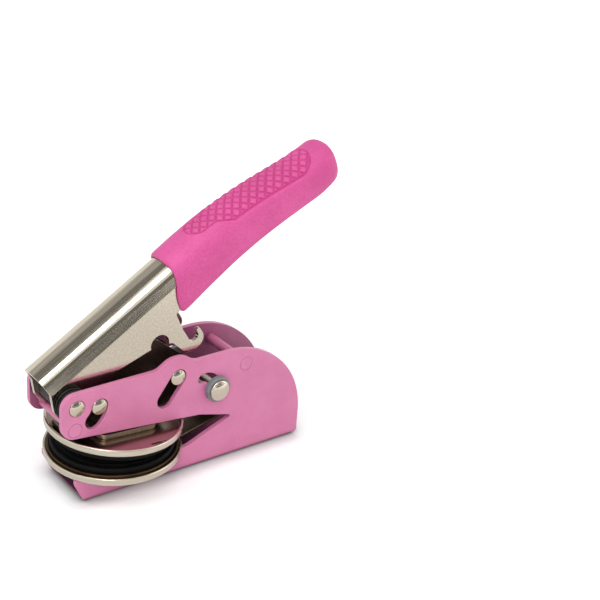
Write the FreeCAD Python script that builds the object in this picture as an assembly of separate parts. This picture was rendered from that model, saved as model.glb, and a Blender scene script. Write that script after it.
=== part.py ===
import FreeCAD
import Part
import math
import os

# Desk seal embosser. Millimetres and degrees. The origin is on the base's underside, under the axis of the
# dies; +X runs to the rear, +Y to the far side and +Z up. Every piece is drawn at rest, with the lever up.

# Frame: one folded channel with the throat for the paper
frame_half_width = 11.67
frame_sheet = 1.7
frame_bend = 2.2
frame_inner_bend = 0.5
foot_setback = 3.3
foot_corner = 1.0
lip_front_inset = 2.9
lip_step_z = 7.0
lip_round = 3.0
lip_z = 9.0
lip_nose = 0.4
lip_rear_inset = 0.8
lip_rear_round = 4.0
throat_reach = 17.4
throat_tip_rise = 7.1
throat_tip_round = 0.6
arm_knee_reach = 3.5
arm_knee_rise = 3.38
arm_knee_round = 8.0
arm_front_reach = 5.5
arm_front_rise = 8.73
arm_low_round = 4.8
arm_top_round = 4.9
bump_start_x = 9.6
bump_front_x = 14.4
bump_rear_x = 19.6
bump_end_x = 24.2
bump_rise = 3.1
bump_round = 7.0
bump_foot_round = 5.0
frame_rear_x = 68.5
frame_rear_foot = 9.55
frame_heel_round = 2.0

# Pins, their bores and the slots that show their ends
pivot_x = -19.5
pivot_lift = 7.6
pivot_cover = 5.4
pin_end_radius = 2.7
pin_end_round = 0.5
pin_proud = 0.48
pin_land_inset = 0.03
fit_clearance = 0.05
pivot_hole_clearance = 0.08
bore_chamfer = 0.25
drive_distance = 8.2
drive_angle = -11.0
drive_slot_angle = -46.0
drive_shank_radius = 1.8
guide_x = 17.7
guide_rise = 0.9
guide_shank_radius = 1.7
slot_clearance = 0.3
guide_slot_length = 8.6
guide_slot_slope = 54.5

# Lever: inverted channel, drawn along u from the pivot and across v, then tilted
lever_angle = 31.5
lever_bay = 2.87
lever_sheet = 1.4
lever_front_u = -3.6
lever_core_u = 72.0
dome_overhang = 0.3
dome_corner = 3.4
dome_crown = 13.0
dome_top = 13.4
dome_lean = 13.0
dome_front_round = 1.3
crease_v = 7.0
flange_top_v = 8.0
nose_u = -5.8
nose_top_v = 1.5
nose_low_v = -3.2
nose_round = 2.5
chin_u = 0.5
chin_v = -5.2
chin_round = 2.0
drive_lug_front_u = 3.2
drive_lug_depth = 3.86
drive_lug_round = 3.0
drive_lug_reach = 3.9
drive_lug_top_v = -4.9
waist_u = 17.1
waist_v = -2.9
belly_u = 29.4
belly_v = -5.6
belly_round = 0.6
notch_u = 34.1
notch_v = -6.8
notch_radius = 3.45
notch_exit_u = 37.9
notch_exit_v = -9.9
hook_front_u = 39.6
hook_front_v = -16.4
hook_low_u = 43.0
hook_low_v = -18.35
hook_rear_u = 48.25
hook_rear_round = 3.65
hook_tip_v = -12.4
hook_wall = 1.4
hook_floor_v = -15.3
hook_mouth_round = 1.6
hook_mouth_u = 43.1
neck_low_v = -9.0
neck_mid_u = 43.5
neck_mid_v = -5.2
neck_top_u = 43.9
neck_top_v = -1.6
core_low_v = -1.0
small_round = 0.5
flange_round = 1.0

# Rubber grip, its sections as shares of its length, height and half width
grip_start_u = 45.0
grip_length = 74.4
grip_tip_lean = 0.14
grip_lean_share = 0.84
grip_height = 15.4
grip_wall = 1.0
grip_brow_setback = 4.0
grip_brow_v = 11.0
grip_cheek_setback = 0.85
grip_cheek_v = 2.6
grip_cheek_round = 9.0
grip_jaw_setback = 0.75
grip_jaw_v = -4.15
grip_jaw_round = 2.5
grip_throat_setback = 6.25
grip_throat_round = 2.0
# length, top, bottom, half width, then the top and bottom corner as shares of the section's own height
grip_section_shares = [
    (0.000, 0.955, -0.255, 0.975, 0.38, 0.20),
    (0.070, 0.972, -0.250, 0.98, 0.38, 0.20),
    (0.200, 0.982, -0.194, 0.99, 0.39, 0.20),
    (0.335, 0.957, -0.154, 1.00, 0.40, 0.20),
    (0.469, 0.894, -0.166, 1.00, 0.40, 0.21),
    (0.602, 0.798, -0.218, 1.00, 0.41, 0.22),
    (0.736, 0.668, -0.304, 0.99, 0.42, 0.24),
    (0.844, 0.567, -0.384, 0.97, 0.42, 0.27),
    (0.921, 0.530, -0.405, 0.94, 0.42, 0.32),
    (0.957, 0.523, -0.395, 0.92, 0.43, 0.38),
    (0.981, 0.465, -0.335, 0.78, 0.45, 0.42),
    (0.993, 0.375, -0.245, 0.61, 0.46, 0.45),
    (1.000, 0.180, -0.060, 0.25, 0.47, 0.46),
]

# Return springs, one each side of the lever, with their hubs
spring_wire = 0.65
spring_coil_radius = 5.25
spring_advance = 2.06
spring_turns = 2
spring_quarters = 8
spring_rest_gap = 0.075
spring_leg_extra = 1.5
hub_radius = 4.5
bush_radius = 4.2

# Spacers riveted between the side plates
front_spacer_reach = 0.7
front_spacer_lift = 2.5
rear_spacer_x = 44.66
rear_spacer_drop = 1.1
spacer_radius = 1.7
tenon_radius = 1.3
rivet_radius = 2.45
rivet_gap = 0.1
rivet_depth = 1.0

# Press bar and button
bar_clearance = 0.3
bar_sheet = 1.5
bar_drive_boss = 3.6
bar_guide_boss = 3.9
bar_rear_reach = 5.7
bar_rear_round = 5.4
bar_web_rise = 7.23
bar_web_front = 9.0
bar_web_round = 2.5
bar_heel_x = 18.3
bar_heel_lift = 0.5
bar_rear_drop = 5.5
bar_brow_x = 12.5
bar_brow_rise = 13.5
bar_brow_round = 3.0
button_radius = 4.5
button_drop = 1.3
button_crown = 14.0
button_shank_share = 0.51
button_rivet_share = 0.69
button_rivet_height = 0.7

# Dies, their pans and the clip that carries the upper one
pan_sheet = 0.9
pan_bend = 0.7
pan_edge = 0.3
lower_pan_rim = 2.62
upper_pan_rim = 2.5
ring_clearance = 0.1
ring_wall = 1.1
ring_height = 2.5
die_radius = 20.8
die_clearance = 0.1
die_edge = 0.4
lower_die_height = 4.2
upper_die_height = 2.5
die_gap = 0.07
slit_front_x = 3.0
slit_length = 6.0
slit_width = 0.8
slit_inset = 4.1
rim_notch_clearance = 0.4
rim_notch_depth = 4.0
hinge_inset = 2.4
hinge_rise = 4.3
open_tilt = 3.6
clip_sheet = 0.8
clip_half_width = 5.0
clip_bend = 1.2
clip_corner_reach = 4.9
clip_low_gap = 0.05
clip_low_inset = 2.0
clip_low_past = 1.1
clip_low_round = 8.0
clip_high_past = 1.3
clip_high_round = 6.0
clip_tongue_inset = 3.0
clip_lug_height = 1.5
clip_lug_bend = 1.0
plate_half = 11.0
plate_corner = 3.5
press_plate_sheet = 1.0
press_plate_extra = 0.25
seat_setback = 0.8
seat_rear_inset = 3.0
seat_round = 2.0
groove_clearance = 0.3
peg_radius = 2.5
peg_inset = 8.0

# Lock: a cross pin that swings forward over the lever's hook
lock_centre_x = 28.2
lock_drop = 6.6
lock_swing_radius = 4.45
lock_rest_angle = -4.0
lock_travel = 105.0
lock_shank_radius = 1.75
lock_slot_clearance = 0.15
washer_radius = 4.45
washer_gap = 0.1
washer_thickness = 1.83
washer_edge = 0.3
head_radius = 3.66
head_thickness = 1.5
head_edge = 0.5

overrun = 8.0
same_place = 1e-6

vec = FreeCAD.Vector
along_y = vec(0, 1, 0)
along_z = vec(0, 0, 1)
frame_inner = frame_half_width - frame_sheet
upper_floor_z = lip_z + pan_sheet + lower_die_height + die_gap + upper_die_height
throat_tip_z = lip_z + throat_tip_rise
hinge_z = lip_z + hinge_rise
arm_knee_z = upper_floor_z + arm_knee_rise
arm_front_z = upper_floor_z + arm_front_rise
front_spacer_z = arm_front_z + front_spacer_lift
pivot_z = front_spacer_z + pivot_lift
frame_top_z = pivot_z + pivot_cover
bar_web_z = upper_floor_z + bar_web_rise
bar_heel_z = bar_web_z + bar_heel_lift
pin_end_y = frame_half_width + pin_proud
pin_land_start = frame_inner + pin_land_inset
lever_flange_inner = frame_inner - lever_bay - lever_sheet
flange_outer = lever_flange_inner + lever_sheet
dome_half_width = flange_outer + dome_overhang
grip_half_width = dome_half_width + grip_wall
grip_jaw_u = grip_start_u + grip_jaw_setback
grip_cheek_u = grip_jaw_u + grip_cheek_setback
grip_brow_u = grip_cheek_u + grip_brow_setback
grip_throat_u = grip_jaw_u + grip_throat_setback
bar_half_width = lever_flange_inner - bar_clearance
button_rivet = (bar_half_width - bar_sheet) * button_rivet_share
button_shank = (bar_half_width - bar_sheet) * button_shank_share
bump_z = frame_top_z + bump_rise
frame_rear_round = frame_top_z - frame_rear_foot
arm_front_x = pivot_x - arm_front_reach
front_spacer_x = pivot_x - front_spacer_reach
pan_radius = die_radius + die_clearance + ring_wall + ring_clearance + pan_sheet
lip_front_x = lip_front_inset - pan_radius
lip_rear_x = pan_radius - lip_rear_inset
foot_front_x = lip_front_x + foot_setback
throat_tip_x = pan_radius + throat_reach
arm_knee_x = pan_radius + arm_knee_reach
hinge_x = throat_tip_x - hinge_inset
rim_notch_half = clip_half_width + rim_notch_clearance
seat_front_x = foot_front_x + seat_setback
seat_rear_x = pan_radius - seat_rear_inset
clip_low_front_x = seat_front_x + clip_low_inset
clip_low_rear_x = pan_radius + clip_low_past
clip_high_rear_x = pan_radius + clip_high_past
clip_tongue_x = clip_tongue_inset - pan_radius
guide_z = pivot_z + guide_rise
rear_spacer_z = pivot_z - rear_spacer_drop
lock_centre_z = pivot_z - lock_drop
bar_brow_z = pivot_z + bar_brow_rise
bar_rear_z = pivot_z - bar_rear_drop
drive_x = pivot_x + drive_distance * math.cos(math.radians(drive_angle))
drive_z = pivot_z + drive_distance * math.sin(math.radians(drive_angle))


def rounded_wire(points):
    """A closed wire through points (place, radius), each corner an arc of its own radius."""
    corners = []
    for index, (here, radius) in enumerate(points):
        if radius == 0:
            corners.append((here, here, here))
            continue
        back = (points[index - 1][0] - here).normalize()
        ahead = (points[(index + 1) % len(points)][0] - here).normalize()
        half = back.getAngle(ahead) / 2
        reach = radius / math.tan(half)
        middle = (back + ahead).normalize() * (radius / math.sin(half) - radius)
        corners.append((here + back * reach, here + middle, here + ahead * reach))
    edges = []
    for index, (start, middle, end) in enumerate(corners):
        if (end - start).Length > same_place:
            edges.append(Part.Arc(start, middle, end).toShape())
        following = corners[(index + 1) % len(corners)][0]
        if (following - end).Length > same_place:
            edges.append(Part.makeLine(end, following))
    return Part.Wire(edges)


def side_plate(outline, start_y, end_y):
    """A plate square to Y; the outline holds (x, z, radius)."""
    wire = rounded_wire([(vec(x, start_y, z), radius) for x, z, radius in outline])
    return Part.Face(wire).extrude(vec(0, end_y - start_y, 0))


def both_sides(shape):
    """The shape and its mirror image across the middle plane."""
    return [shape, shape.mirror(vec(0, 0, 0), along_y)]


def lever_place(u, v):
    """X and Z of a point given along and across the lever."""
    turn = math.radians(lever_angle)
    x = pivot_x + u * math.cos(turn) - v * math.sin(turn)
    z = pivot_z + u * math.sin(turn) + v * math.cos(turn)
    return x, z


def lever_plate(outline, start_y, end_y):
    """A plate square to Y whose outline holds (u, v, radius) of the lever."""
    return side_plate([lever_place(u, v) + (radius,) for u, v, radius in outline], start_y, end_y)


def across(radius, x, z, start_y, end_y):
    """A round bar along Y."""
    return Part.makeCylinder(radius, end_y - start_y, vec(x, start_y, z), along_y)


def cross_bar(radius, x, z, half_length):
    """A round bar along Y, centred on the middle plane."""
    return across(radius, x, z, -half_length, half_length)


def ring_place(x, z, radius, angle):
    """A point on a circle in the side view."""
    turn = math.radians(angle)
    return x + radius * math.cos(turn), z + radius * math.sin(turn)


def straight_slot(start, end, radius, half_length):
    """A round-ended slot across the whole part."""
    run = vec(end[0] - start[0], 0, end[1] - start[1])
    side = vec(-run.z, 0, run.x).normalize() * radius
    tip = run.normalize() * radius
    first = vec(start[0], -half_length, start[1])
    last = vec(end[0], -half_length, end[1])
    wire = Part.Wire([
        Part.makeLine(first + side, last + side),
        Part.Arc(last + side, last + tip, last - side).toShape(),
        Part.makeLine(last - side, first - side),
        Part.Arc(first - side, first - tip, first + side).toShape(),
    ])
    return Part.Face(wire).extrude(vec(0, half_length + half_length, 0))


def arc_slot(centre, swing, half_slot, low_angle, high_angle, half_length):
    """A round-ended slot bent about a centre, across the whole part."""
    def at(radius, angle):
        x, z = ring_place(centre[0], centre[1], radius, angle)
        return vec(x, -half_length, z)

    half_angle = (low_angle + high_angle) / 2
    tip_angle = math.degrees(half_slot / swing)
    outer = swing + half_slot
    inner = swing - half_slot
    low_x, low_z = ring_place(centre[0], centre[1], swing, low_angle)
    high_x, high_z = ring_place(centre[0], centre[1], swing, high_angle)
    low_tip = vec(math.sin(math.radians(low_angle)), 0, -math.cos(math.radians(low_angle))) * half_slot
    high_tip = vec(-math.sin(math.radians(high_angle)), 0, math.cos(math.radians(high_angle))) * half_slot
    wire = Part.Wire([
        Part.Arc(at(outer, low_angle), at(outer, half_angle), at(outer, high_angle)).toShape(),
        Part.Arc(at(outer, high_angle), vec(high_x, -half_length, high_z) + high_tip,
                 at(inner, high_angle)).toShape(),
        Part.Arc(at(inner, high_angle), at(inner, half_angle), at(inner, low_angle)).toShape(),
        Part.Arc(at(inner, low_angle), vec(low_x, -half_length, low_z) + low_tip,
                 at(outer, low_angle)).toShape(),
    ])
    return Part.Face(wire).extrude(vec(0, half_length + half_length, 0))


def turned(profile):
    """A solid of revolution about Z; the profile holds (radius, z, corner)."""
    wire = rounded_wire([(vec(radius, 0, z), corner) for radius, z, corner in profile])
    return Part.Face(wire).revolve(vec(0, 0, 0), along_z, 360)


def opened(shape):
    """A piece of the upper die, drawn closed and level, tilted to rest about the clip's bend."""
    tilted = shape.copy()
    tilted.rotate(vec(hinge_x, 0, hinge_z), along_y, open_tilt)
    return tilted


def save(name, shape):
    """Writes one named piece after checking that it is sound."""
    if not shape.isValid():
        raise ValueError("unsound solid: " + name)
    shape.exportStep("parts/" + name + ".step")
    print(name, len(shape.Solids), "solid,", round(shape.Volume), "mm3")


def spacer(x, z):
    """A spacer with a tenon and a riveted head in each side plate."""
    shape = cross_bar(spacer_radius, x, z, frame_inner)
    shape = shape.fuse(cross_bar(tenon_radius, x, z, frame_half_width))
    for side in (-1, 1):
        neck = vec(x, side * (frame_half_width - rivet_depth), z)
        shape = shape.fuse(Part.makeCone(tenon_radius, rivet_radius, rivet_depth, neck, along_y * side))
    return shape.removeSplitter()


def rivet_hole(x, z):
    """The hole and countersinks that a spacer's tenon fills."""
    shape = cross_bar(tenon_radius, x, z, frame_half_width + overrun)
    for side in (-1, 1):
        neck = vec(x, side * (frame_half_width - rivet_depth), z)
        head_end = rivet_radius + rivet_gap
        shape = shape.fuse(Part.makeCone(tenon_radius, head_end, rivet_depth, neck, along_y * side))
    return shape


def chamfered_bore(radius, x, z):
    """A bore through both side plates with a broken outer edge."""
    shape = cross_bar(radius, x, z, frame_half_width + overrun)
    for side in (-1, 1):
        start = vec(x, side * (frame_half_width - bore_chamfer), z)
        shape = shape.fuse(Part.makeCone(radius, radius + bore_chamfer, bore_chamfer, start, along_y * side))
    return shape


def frame_channel():
    """The folded sheet frame."""
    top = bump_z + overrun
    section = [
        (-frame_half_width, 0, frame_bend), (frame_half_width, 0, frame_bend),
        (frame_half_width, top, 0), (frame_inner, top, 0),
        (frame_inner, frame_sheet, frame_inner_bend), (-frame_inner, frame_sheet, frame_inner_bend),
        (-frame_inner, top, 0), (-frame_half_width, top, 0),
    ]
    start_x = arm_front_x - overrun
    wire = rounded_wire([(vec(start_x, y, z), radius) for y, z, radius in section])
    channel = Part.Face(wire).extrude(vec(frame_rear_x + overrun - start_x, 0, 0))
    outline = [
        (foot_front_x, 0, foot_corner), (lip_front_x, lip_step_z, lip_round), (lip_front_x, lip_z, lip_nose),
        (lip_rear_x, lip_z, lip_rear_round), (throat_tip_x, throat_tip_z, throat_tip_round),
        (arm_knee_x, arm_knee_z, arm_knee_round), (arm_front_x, arm_front_z, arm_low_round),
        (arm_front_x, frame_top_z, arm_top_round), (bump_start_x, frame_top_z, bump_foot_round),
        (bump_front_x, bump_z, bump_round), (bump_rear_x, bump_z, bump_round),
        (bump_end_x, frame_top_z, bump_foot_round), (frame_rear_x, frame_top_z, frame_rear_round),
        (frame_rear_x, 0, frame_heel_round),
    ]
    shape = channel.common(side_plate(outline, -frame_half_width, frame_half_width))
    reach = frame_half_width + overrun
    slope = math.radians(guide_slot_slope)
    guide_end = (guide_x - guide_slot_length * math.cos(slope), guide_z - guide_slot_length * math.sin(slope))
    slot_radius = pin_end_radius + slot_clearance
    cuts = [
        chamfered_bore(pin_end_radius + pivot_hole_clearance, pivot_x, pivot_z),
        arc_slot((pivot_x, pivot_z), drive_distance, slot_radius, drive_slot_angle, drive_angle, reach),
        straight_slot((guide_x, guide_z), guide_end, slot_radius, reach),
        arc_slot((lock_centre_x, lock_centre_z), lock_swing_radius, lock_shank_radius + lock_slot_clearance,
                 lock_rest_angle, lock_rest_angle + lock_travel, reach),
        rivet_hole(front_spacer_x, front_spacer_z),
        rivet_hole(rear_spacer_x, rear_spacer_z),
    ]
    for x in peg_places():
        cuts.append(Part.makeCylinder(peg_radius + fit_clearance, frame_sheet + overrun, vec(x, 0, 0)))
    return shape.cut(cuts)


def peg_places():
    """Where the die seat's two pegs stand."""
    return [seat_front_x + peg_inset, seat_rear_x - peg_inset]


def pin(x, z, shank_radius, shank_half):
    """A cross pin with a thinner shank between two lands whose ends stand proud."""
    shape = cross_bar(shank_radius, x, z, shank_half)
    land = across(pin_end_radius, x, z, shank_half, pin_end_y)
    rim = [edge for edge in land.Edges if abs(edge.CenterOfMass.y - pin_end_y) < same_place]
    land = land.makeFillet(pin_end_round, rim)
    for piece in both_sides(land):
        shape = shape.fuse(piece)
    return shape.removeSplitter()


def sleeve(outer, inner, x, z, start_y, end_y):
    """A round sleeve along Y."""
    shape = across(outer, x, z, start_y, end_y)
    return shape.cut(across(inner, x, z, start_y, end_y))


def dome_turn():
    """The slope at which the dome's crown meets its corners, for sides that lean in from the crease."""
    lean = math.radians(dome_lean)
    side = dome_half_width - dome_corner * math.cos(lean)
    rise = dome_top - dome_crown + dome_corner * math.sin(lean) - crease_v
    reach = (side - rise * math.tan(lean)) * math.cos(lean)
    return lean + math.acos(reach / (dome_crown - dome_corner))


def dome_wire(inset, u):
    """The arch of the lever's rounded top, seen along it, open below the crease."""
    lean = math.radians(dome_lean)
    turn = dome_turn()
    corner = dome_corner - inset
    crown = dome_crown - inset
    crown_v = dome_top - dome_crown
    centre_y = (crown - corner) * math.cos(turn)
    corner_v = crown_v + (crown - corner) * math.sin(turn)

    def at(y, v):
        x, z = lever_place(u, v)
        return vec(x, y, z)

    meet_y = centre_y + corner * math.cos(turn)
    meet_v = corner_v + corner * math.sin(turn)
    mid_y = centre_y + corner * math.cos((turn + lean) / 2)
    mid_v = corner_v + corner * math.sin((turn + lean) / 2)
    side_y = centre_y + corner * math.cos(lean)
    side_v = corner_v + corner * math.sin(lean)
    low = crease_v - (overrun if inset else 0)
    half = side_y + (side_v - low) * math.tan(lean)
    return Part.Wire([
        Part.makeLine(at(-half, low), at(half, low)),
        Part.makeLine(at(half, low), at(side_y, side_v)),
        Part.Arc(at(side_y, side_v), at(mid_y, mid_v), at(meet_y, meet_v)).toShape(),
        Part.Arc(at(meet_y, meet_v), at(0, crown_v + crown), at(-meet_y, meet_v)).toShape(),
        Part.Arc(at(-meet_y, meet_v), at(-mid_y, mid_v), at(-side_y, side_v)).toShape(),
        Part.makeLine(at(-side_y, side_v), at(-half, low)),
    ])


def lever_run(start_u, end_u):
    """The way along the lever from one place to another."""
    start_x, start_z = lever_place(start_u, 0)
    end_x, end_z = lever_place(end_u, 0)
    return vec(end_x - start_x, 0, end_z - start_z)


def lever_outline():
    """Side view of a flange, with the drive lug, the guide pin's notch and the lock hook."""
    drive_u, drive_v = drive_in_lever()
    hook_inner_u = hook_rear_u - hook_wall
    return [
        (lever_front_u, flange_top_v, 0), (lever_front_u, crease_v, 0), (nose_u, nose_top_v, drive_lug_round),
        (nose_u, nose_low_v, nose_round), (chin_u, chin_v, chin_round),
        (drive_lug_front_u, drive_v - drive_lug_depth, drive_lug_round),
        (drive_u + drive_lug_reach, drive_v - drive_lug_depth, drive_lug_reach),
        (drive_u + drive_lug_reach, drive_lug_top_v, chin_round), (waist_u, waist_v, small_round),
        (belly_u, belly_v, belly_round), (notch_u, notch_v, 0), (notch_exit_u, notch_exit_v, small_round),
        (hook_front_u, hook_front_v, flange_round), (hook_low_u, hook_low_v, chin_round),
        (hook_rear_u, hook_low_v, hook_rear_round), (hook_rear_u, hook_tip_v, small_round),
        (hook_inner_u, hook_tip_v, small_round), (hook_inner_u, hook_floor_v, hook_mouth_round),
        (hook_mouth_u, hook_floor_v, hook_mouth_round), (hook_mouth_u, neck_low_v, flange_round),
        (neck_mid_u, neck_mid_v, flange_round), (neck_top_u, neck_top_v, flange_round),
        (lever_core_u, core_low_v, 0), (lever_core_u, flange_top_v, 0),
    ]


def drive_in_lever():
    """The drive pin's place along and across the lever."""
    turn = math.radians(drive_angle - lever_angle)
    return drive_distance * math.cos(turn), drive_distance * math.sin(turn)


def lever():
    """The pressed lever: a domed channel whose flanges carry the drive pin and the hook."""
    run = lever_run(lever_front_u, lever_core_u)
    side = [(lever_front_u, crease_v, dome_front_round), (lever_core_u, crease_v, 0),
            (lever_core_u, dome_top, 0), (lever_front_u, dome_top, 0)]
    shape = Part.Face(dome_wire(0, lever_front_u)).extrude(run)
    shape = shape.common(lever_plate(side, -dome_half_width, dome_half_width))
    for side in (-1, 1):
        start, end = sorted([side * lever_flange_inner, side * flange_outer])
        shape = shape.fuse(lever_plate(lever_outline(), start, end))
    shape = shape.cut(Part.Face(dome_wire(lever_sheet, lever_front_u)).extrude(run).common(
        lever_plate(inner_outline(), -lever_flange_inner, lever_flange_inner)))
    notch_x, notch_z = lever_place(notch_u, notch_v)
    cuts = [
        cross_bar(notch_radius, notch_x, notch_z, frame_inner),
        cross_bar(pin_end_radius + fit_clearance, pivot_x, pivot_z, frame_inner),
        cross_bar(drive_shank_radius, drive_x, drive_z, frame_inner),
    ]
    return shape.cut(cuts).removeSplitter()


def inner_outline():
    """Side view of the room under the lever's dome."""
    start = lever_front_u - overrun
    end = lever_core_u + overrun
    high_v = dome_top + overrun
    return [(start, neck_low_v, 0), (end, neck_low_v, 0), (end, high_v, 0), (start, high_v, 0)]


def grip_section(u, lean, top, bottom, half, top_corner, bottom_corner):
    """One rounded section of the grip, square to the lever or leaning towards the tip at its top."""
    middle = (top + bottom) / 2

    def at(y, v):
        x, z = lever_place(u + lean * (v - middle), v)
        return vec(x, y, z)

    return rounded_wire([
        (at(-half, bottom), bottom_corner), (at(half, bottom), bottom_corner),
        (at(half, top), top_corner), (at(-half, top), top_corner),
    ])


def lever_grip(core):
    """The rubber grip: a loft whose front is trimmed to its curved edge, moulded around the lever."""
    sections = []
    for along, top_share, low_share, half_share, top_corner_share, low_corner_share in grip_section_shares:
        top = top_share * grip_height
        bottom = low_share * grip_height
        lean = grip_tip_lean * max(along - grip_lean_share, 0) / (1 - grip_lean_share)
        sections.append(grip_section(
            grip_start_u + along * grip_length, lean, top, bottom, half_share * grip_half_width,
            top_corner_share * (top - bottom), low_corner_share * (top - bottom)))
    body = Part.makeLoft(sections, True, False)
    end_u = grip_start_u + grip_length + grip_height
    trim = [
        (grip_brow_u, grip_height + overrun, 0), (grip_brow_u, grip_brow_v, grip_cheek_round),
        (grip_cheek_u, grip_cheek_v, grip_cheek_round), (grip_jaw_u, grip_jaw_v, grip_jaw_round),
        (grip_throat_u, grip_jaw_v, grip_throat_round), (grip_throat_u, -grip_height, 0),
        (end_u, -grip_height, 0), (end_u, grip_height + overrun, 0),
    ]
    reach = grip_half_width + overrun
    return body.common(lever_plate(trim, -reach, reach)).cut(core)


def biarc(start, start_way, end, end_way):
    """Two tangent arcs from one point and direction to another."""
    chord = end - start
    spread = 2 * (1 - start_way.dot(end_way))
    pull = chord.dot(start_way + end_way)
    reach = (math.sqrt(pull ** 2 + spread * chord.dot(chord)) - pull) / spread
    first = start + start_way * reach
    second = end - end_way * reach
    joint = (first + second) / 2
    edges = []
    for near, corner, far in ((start, first, joint), (joint, second, end)):
        middle = (near + far) / 2
        half_cosine = (far - near).Length / 2 / reach
        crest = middle + (corner - middle) * (half_cosine / (1 + half_cosine))
        edges.append(Part.Arc(near, crest, far).toShape())
    return edges


def spring_angles():
    """The coil's start at the front spacer's leg and its end at the drive pin's leg."""
    rest_offset = spacer_radius + spring_wire / 2 + spring_rest_gap
    drive_offset = drive_shank_radius + spring_wire / 2 + spring_rest_gap
    spacer_x = front_spacer_x - pivot_x
    spacer_z = front_spacer_z - pivot_z
    rest_turn = math.acos((spring_coil_radius - rest_offset) / math.hypot(spacer_x, spacer_z))
    drive_turn = math.acos((spring_coil_radius - drive_offset) / drive_distance)
    start = math.atan2(spacer_z, spacer_x) + rest_turn
    end = math.radians(drive_angle) - drive_turn + 2 * math.pi * spring_turns
    return start, end


def spring_point(share):
    """Centre line and direction of the coil at a share of its winding, on the far side."""
    start, end = spring_angles()
    angle = start + share * (end - start)
    plate_y = frame_inner - spring_rest_gap - spring_wire / 2
    ease = (1 - math.cos(math.pi * share)) / 2
    slope = spring_advance * math.pi * math.sin(math.pi * share) / 2 / (end - start)
    place = vec(pivot_x + spring_coil_radius * math.cos(angle), plate_y - spring_advance * ease,
                pivot_z + spring_coil_radius * math.sin(angle))
    way = vec(-spring_coil_radius * math.sin(angle), -slope, spring_coil_radius * math.cos(angle))
    return place, way.normalize()


def return_spring():
    """The far side's torsion spring, one tube: leg at the front spacer, coil, leg under the drive pin."""
    first, first_way = spring_point(0)
    last, last_way = spring_point(1)
    spacer_foot = (vec(front_spacer_x, first.y, front_spacer_z) - first).dot(first_way)
    drive_foot = (vec(drive_x, last.y, drive_z) - last).dot(last_way)
    leg_start = first + first_way * (spacer_foot - spring_leg_extra)
    leg_end = last + last_way * (drive_foot + spring_leg_extra)
    edges = [Part.makeLine(leg_start, first)]
    for step in range(spring_quarters):
        edges += biarc(*spring_point(step / spring_quarters), *spring_point((step + 1) / spring_quarters))
    edges.append(Part.makeLine(last, leg_end))
    path = Part.Wire(edges)
    ring = Part.Wire(Part.makeCircle(spring_wire / 2, leg_start, first_way))
    report_spring_gap(path)
    return path.makePipeShell([ring], True, False)


def report_spring_gap(path):
    """Prints the least gap of the spring's wire to itself, measured on points."""
    samples = path.discretize(600)
    step = path.Length / (len(samples) - 1)
    skip = math.ceil(math.pi * spring_coil_radius / 2 / step)
    least = min((here - there).Length for index, here in enumerate(samples) for there in samples[index + skip:])
    print("spring length", round(path.Length, 1), "least gap to itself", round(least - spring_wire, 3))


def bar_outline():
    """Side view of the press bar, from the drive pin's boss to the guide pin's."""
    front = drive_x - bar_drive_boss
    rear = guide_x + bar_rear_reach
    brow_run = bar_brow_x - drive_x
    brow_rise = bar_brow_z - drive_z
    lean = math.atan2(brow_rise, brow_run) - math.asin(bar_drive_boss / math.hypot(brow_run, brow_rise))
    front_z = bar_brow_z - (bar_brow_x - front) * math.tan(lean)
    return [
        (front, front_z, bar_drive_boss), (front, drive_z - bar_drive_boss, bar_web_round),
        (-bar_web_front, bar_web_z, bar_web_round), (bar_web_front, bar_web_z, bar_web_round),
        (bar_heel_x, bar_heel_z, bar_web_round), (rear, bar_rear_z, bar_web_round),
        (rear, guide_z + bar_guide_boss, bar_rear_round), (bar_brow_x, bar_brow_z, bar_brow_round),
    ]


def press_bar():
    """The channel that hangs on the drive pin and pushes the button down."""
    shape = side_plate(bar_outline(), -bar_half_width, bar_half_width)
    inner = bar_half_width - bar_sheet
    floor = bar_web_z + bar_sheet
    front = drive_x - bar_drive_boss - overrun
    length = guide_x + bar_rear_reach + overrun - front
    room = Part.makeBox(length, inner + inner, bump_z, vec(front, -inner, floor))
    cuts = [
        room,
        cross_bar(drive_shank_radius + fit_clearance, drive_x, drive_z, frame_inner),
        cross_bar(guide_shank_radius, guide_x, guide_z, frame_inner),
        Part.makeCylinder(button_shank, overrun, vec(0, 0, bar_web_z - overrun / 2)),
    ]
    return shape.cut(cuts)


def press_button():
    """The hard nose riveted into the press bar's web."""
    sag = button_crown - math.sqrt(button_crown ** 2 - button_radius ** 2)
    bottom = bar_web_z - button_drop
    head = Part.makeCylinder(button_radius, button_drop, vec(0, 0, bottom))
    ball = Part.makeSphere(button_crown, vec(0, 0, bottom + button_crown))
    head = head.common(ball)
    shank = Part.makeCylinder(button_shank, bar_sheet, vec(0, 0, bar_web_z))
    rivet = Part.makeCylinder(button_rivet, button_rivet_height, vec(0, 0, bar_web_z + bar_sheet))
    print("button crown drop", round(sag, 2))
    return head.fuse([shank, rivet]).removeSplitter()


def pan(bottom_z, rim):
    """A shallow dish with a bent-up rim."""
    inner = pan_radius - pan_sheet
    return turned([
        (0, bottom_z, 0), (pan_radius, bottom_z, pan_bend), (pan_radius, bottom_z + rim, pan_edge),
        (inner, bottom_z + rim, pan_edge), (inner, bottom_z + pan_sheet, pan_edge), (0, bottom_z + pan_sheet, 0),
    ])


def disc(radius, bottom_z, top_z, edge):
    """A solid disc with a softened rim on both faces."""
    return turned([(0, bottom_z, 0), (radius, bottom_z, edge), (radius, top_z, edge), (0, top_z, 0)])


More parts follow.
